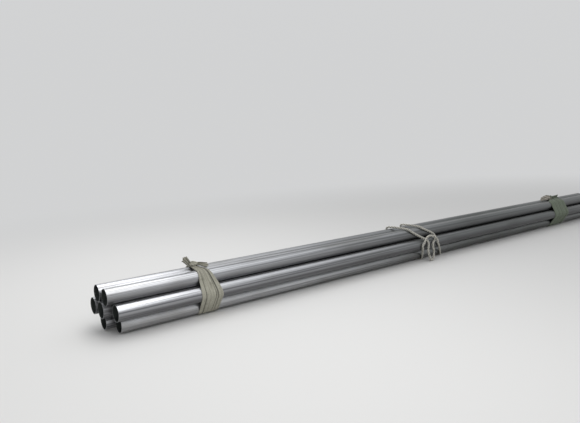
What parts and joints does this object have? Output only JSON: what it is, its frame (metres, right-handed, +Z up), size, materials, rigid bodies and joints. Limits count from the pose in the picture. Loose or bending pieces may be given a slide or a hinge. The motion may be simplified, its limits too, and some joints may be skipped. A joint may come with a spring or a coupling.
{
  "type": "bundle of steel pipes",
  "caption": "Hexagonal bundle of long thin-walled round steel pipes, tied near both ends with knotted sack cloth and choked at the middle with a lifting rope.",
  "frame": {"origin": "on the floor, below the middle of the bundle's length and width", "axes": "+X along the pipes away from the more staggered ends, +Y to the bundle's back, +Z up"},
  "size_m": [6.088, 0.3578, 0.3698],
  "materials": {
    "steel": "bright drawn mill finish with fine lengthwise streaks",
    "sack_cloth": "dusty grey-green woven sacking",
    "rope": "worn twisted rope, pale grey-beige"
  },
  "bodies": {
    "root": {"pipe_bottom_front": "steel", "pipe_bottom_back": "steel", "pipe_middle_front": "steel", "pipe_centre": "steel", "pipe_middle_back": "steel", "pipe_top_front": "steel", "pipe_top_back": "steel", "tie_strip_left": "sack_cloth", "tie_strip_right": "sack_cloth", "rope_sling": "rope", "rope_bight": "rope"}
  },
  "joints": []
}
